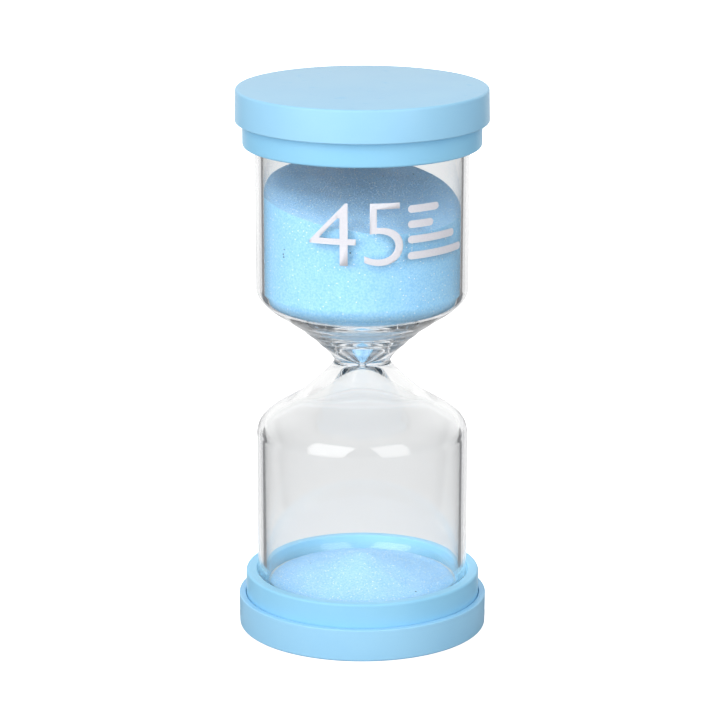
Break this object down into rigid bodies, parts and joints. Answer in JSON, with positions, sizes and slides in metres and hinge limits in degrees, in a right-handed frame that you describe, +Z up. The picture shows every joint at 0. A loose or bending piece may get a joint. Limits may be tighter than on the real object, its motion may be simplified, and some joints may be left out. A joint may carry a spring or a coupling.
{
  "type": "sand timer",
  "caption": "Sand timer: a blown glass with an upper and a lower bulb joined by a thick neck, round moulded caps on both ends, and fine sand that runs down.",
  "frame": {"origin": "centre of the underside of the lower cap, on the surface it stands on", "axes": "+Z up along the axis of the glass; -Y towards the side with the printed marking"},
  "size_m": [0.0568, 0.0568, 0.125],
  "materials": {
    "cover_plastic": "semi-gloss moulded sky-blue plastic",
    "collar_plastic": "semi-gloss moulded sky-blue plastic, a little deeper",
    "clear_glass": "clear fire-polished borosilicate",
    "stopper_silicone": "translucent white silicone",
    "gasket_silicone": "soft white silicone",
    "clear_glue": "set glue, slightly cloudy",
    "blue_sand": "fine dyed quartz sand, matt with small glints"
  },
  "bodies": {
    "timer": {"bottom_cover": "cover_plastic", "bottom_collar": "collar_plastic", "bottom_seat_gasket": "gasket_silicone", "bottom_glue_bead": "clear_glue", "top_cover": "cover_plastic", "top_collar": "collar_plastic", "top_seat_gasket": "gasket_silicone", "top_glue_bead": "clear_glue", "glass_body": "clear_glass", "fill_plug": "stopper_silicone", "upper_sand_funnel": "blue_sand", "upper_sand_column": "blue_sand", "lower_sand_bed": "blue_sand", "lower_sand_column": "blue_sand"},
    "upper_level": {"upper_sand_level": "blue_sand"},
    "lower_heap": {"lower_sand_heap": "blue_sand"}
  },
  "joints": [
    {"name": "upper_level_sinks", "type": "slide", "parent": "timer", "child": "upper_level", "axis": [0, 0, -1], "range_m": [0, 0.015], "deforming": ["upper_sand_column"]},
    {"name": "lower_heap_rises", "type": "slide", "parent": "timer", "child": "lower_heap", "axis": [0, 0, 1], "range_m": [0, 0.0162], "deforming": ["lower_sand_column"]}
  ],
  "couplings": [
    {"joint": "lower_heap_rises", "follows": "upper_level_sinks", "ratio": 1.08}
  ]
}
